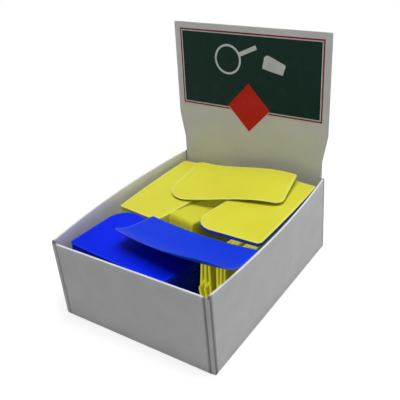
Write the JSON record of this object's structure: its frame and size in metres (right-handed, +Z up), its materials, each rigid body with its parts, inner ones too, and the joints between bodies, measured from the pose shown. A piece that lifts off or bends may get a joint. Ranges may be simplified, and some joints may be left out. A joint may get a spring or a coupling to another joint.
{
  "type": "pan scraper",
  "caption": "Flat plastic pan scrapers in two colours, stacked and standing on edge in an open folded board tray with a printed header card.",
  "frame": {"origin": "middle of the tray's underside, on the counter", "axes": "+X to the right seen from the front, +Y to the rear where the header card stands, +Z up"},
  "size_m": [0.2025, 0.2433, 0.2498],
  "materials": {
    "board_inside": "matte",
    "board_outside": "matte",
    "card": "matte",
    "print_dark_red": "matte",
    "print_green": "matte",
    "print_red": "matte",
    "print_cream": "matte",
    "scraper_blue": "satin",
    "scraper_yellow": "satin"
  },
  "bodies": {
    "tray": {"floor_panel": "board_inside", "front_wall": "board_outside", "rear_wall": "board_outside", "left_wall": "board_outside", "right_wall": "board_outside", "front_left_flap": "board_inside", "front_right_flap": "board_inside", "rear_left_flap": "board_inside", "rear_right_flap": "board_inside", "front_left_stack": "scraper_blue", "rear_left_blue_stack": "scraper_blue", "rear_left_yellow_stack": "scraper_yellow", "rear_left_top_scraper": "scraper_yellow", "middle_bundle": "scraper_yellow", "front_bundle_left": "scraper_yellow", "front_bundle_right": "scraper_yellow", "rear_right_layer": "scraper_blue"},
    "header": {"header_card": "card", "header_frame_line": "print_dark_red", "header_panel": "print_green", "header_lozenge": "print_red", "header_pictogram": "print_cream"},
    "front_left_top": {"front_left_top_scraper": "scraper_blue"},
    "loose_blue": {"loose_blue_scraper": "scraper_blue"},
    "rear_right_top": {"rear_right_top_scraper": "scraper_yellow"},
    "loose_yellow": {"loose_yellow_scraper": "scraper_yellow"}
  },
  "joints": [
    {"name": "header_lift", "type": "slide", "parent": "tray", "child": "header", "axis": [0, 0.0506, 0.9987], "range_m": [0, 0.1]},
    {"name": "front_left_top_lift", "type": "slide", "parent": "tray", "child": "front_left_top", "axis": [0, 0, 1], "range_m": [0, 0.1]},
    {"name": "loose_blue_lift", "type": "slide", "parent": "front_left_top", "child": "loose_blue", "axis": [0, 0, 1], "range_m": [0, 0.12]},
    {"name": "rear_right_top_lift", "type": "slide", "parent": "tray", "child": "rear_right_top", "axis": [0, 0, 1], "range_m": [0, 0.1]},
    {"name": "loose_yellow_lift", "type": "slide", "parent": "rear_right_top", "child": "loose_yellow", "axis": [0, 0, 1], "range_m": [0, 0.12]}
  ]
}
